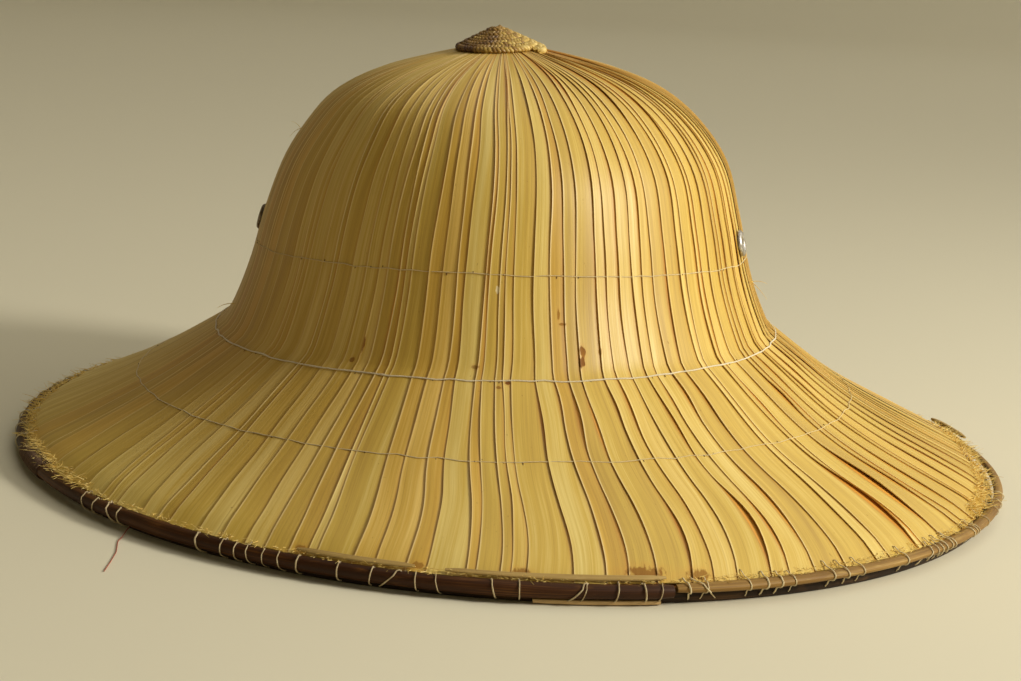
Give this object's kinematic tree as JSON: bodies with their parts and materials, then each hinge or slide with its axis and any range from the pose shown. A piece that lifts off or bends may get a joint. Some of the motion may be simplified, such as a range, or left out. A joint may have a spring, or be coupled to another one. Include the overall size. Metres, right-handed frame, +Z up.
{
  "type": "palm leaf sun helmet",
  "caption": "Sun helmet of lapped palm leaf strips, with an oval crown, a sloping round brim bound with split cane, a coiled button on top and vent eyelets in its sides.",
  "frame": {"origin": "on the floor under the middle of the brim, which rests on its rim", "axes": "+Z up through the crown, +Y towards the back of the hat, +X towards the wearer's left"},
  "size_m": [0.36, 0.388, 0.1587],
  "materials": {
    "leaf_strips": "golden dried palm leaf, slightly glossy, with fine lengthwise fibres",
    "plaited_straw": "brown gold plaited straw cord",
    "dark_cane": "smooth very dark brown split cane",
    "brown_cane": "worn mid brown split cane",
    "black_cane": "nearly black split cane",
    "pale_cane": "bare pale split cane",
    "eyelet_metal": "dull silver sheet metal"
  },
  "bodies": {
    "root": {"strip_cover": "leaf_strips", "crown_button": "plaited_straw", "rim_cane_left": "dark_cane", "rim_cane_right": "brown_cane", "rim_hoop_lower": "black_cane", "rim_lath_left": "pale_cane", "rim_lath_right": "pale_cane", "rim_splint": "pale_cane", "eyelet_right": "eyelet_metal", "eyelet_left": "eyelet_metal"}
  },
  "joints": []
}
